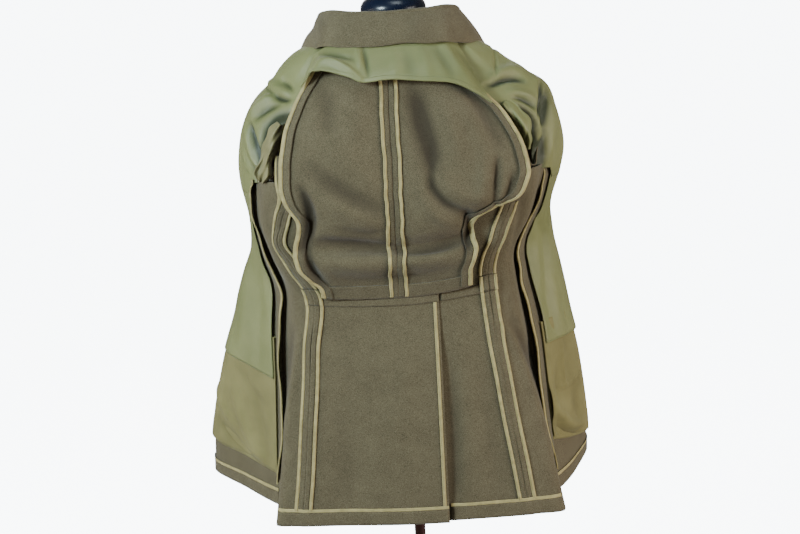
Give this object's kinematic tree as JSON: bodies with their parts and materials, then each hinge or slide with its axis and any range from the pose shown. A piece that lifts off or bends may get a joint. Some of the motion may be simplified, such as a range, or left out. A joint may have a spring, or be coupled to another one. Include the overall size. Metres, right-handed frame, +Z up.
{
  "type": "military dress tunic on a dress form",
  "caption": "Wool uniform tunic turned inside out, its open bound seams, half lining and pocket bags showing, worn by a limbless form on a round foot.",
  "frame": {"origin": "middle of the underside of the stand's round foot", "axes": "+Z up along the pole; the tunic's back faces -Y and its open fronts +Y"},
  "size_m": [0.6821, 0.4026, 1.5703],
  "materials": {
    "wool": "matt wool serge",
    "lining": "cotton sateen",
    "twill": "cotton twill",
    "tape": "cotton binding tape",
    "button": "dull brass",
    "form": "dark jersey over a hard shell",
    "cap": "gloss",
    "stand": "satin enamel"
  },
  "bodies": {
    "root": {"back_l": "wool", "pleat_l": "wool", "back_seam_l": "wool", "skirt_l": "wool", "side_l": "wool", "gusset_l": "wool", "front_l": "wool", "facing_l": "wool", "hem_front_l": "wool", "side_flap_l": "wool", "sleeve_l": "wool", "lapel_l": "wool", "hem_l": "wool", "pleat_tape_l": "tape", "side_seam_in_l": "tape", "side_seam_out_l": "tape", "hem_tape_l": "tape", "hem_tape_front_l": "tape", "side_flap_tape_l": "tape", "front_lining_l": "lining", "armhole_lining_l": "lining", "shoulder_lining_l": "lining", "pocket_bag_l": "twill", "back_r": "wool", "pleat_r": "wool", "back_seam_r": "wool", "skirt_r": "wool", "side_r": "wool", "gusset_r": "wool", "front_r": "wool", "facing_r": "wool", "hem_front_r": "wool", "side_flap_r": "wool", "sleeve_r": "wool", "lapel_r": "wool", "hem_r": "wool", "pleat_tape_r": "tape", "side_seam_in_r": "tape", "side_seam_out_r": "tape", "hem_tape_r": "tape", "hem_tape_front_r": "tape", "side_flap_tape_r": "tape", "front_lining_r": "lining", "armhole_lining_r": "lining", "shoulder_lining_r": "lining", "pocket_bag_r": "twill", "collar": "wool", "waist_strip_low": "wool", "waist_strip_low_r": "wool", "waist_strip_top": "wool", "vent_tape": "tape", "yoke_lining": "lining", "button_1": "button", "button_2": "button", "button_3": "button", "button_4": "button", "form_torso": "form", "neck_cap": "cap", "stand_pole": "stand", "stand_base": "stand"}
  },
  "joints": []
}
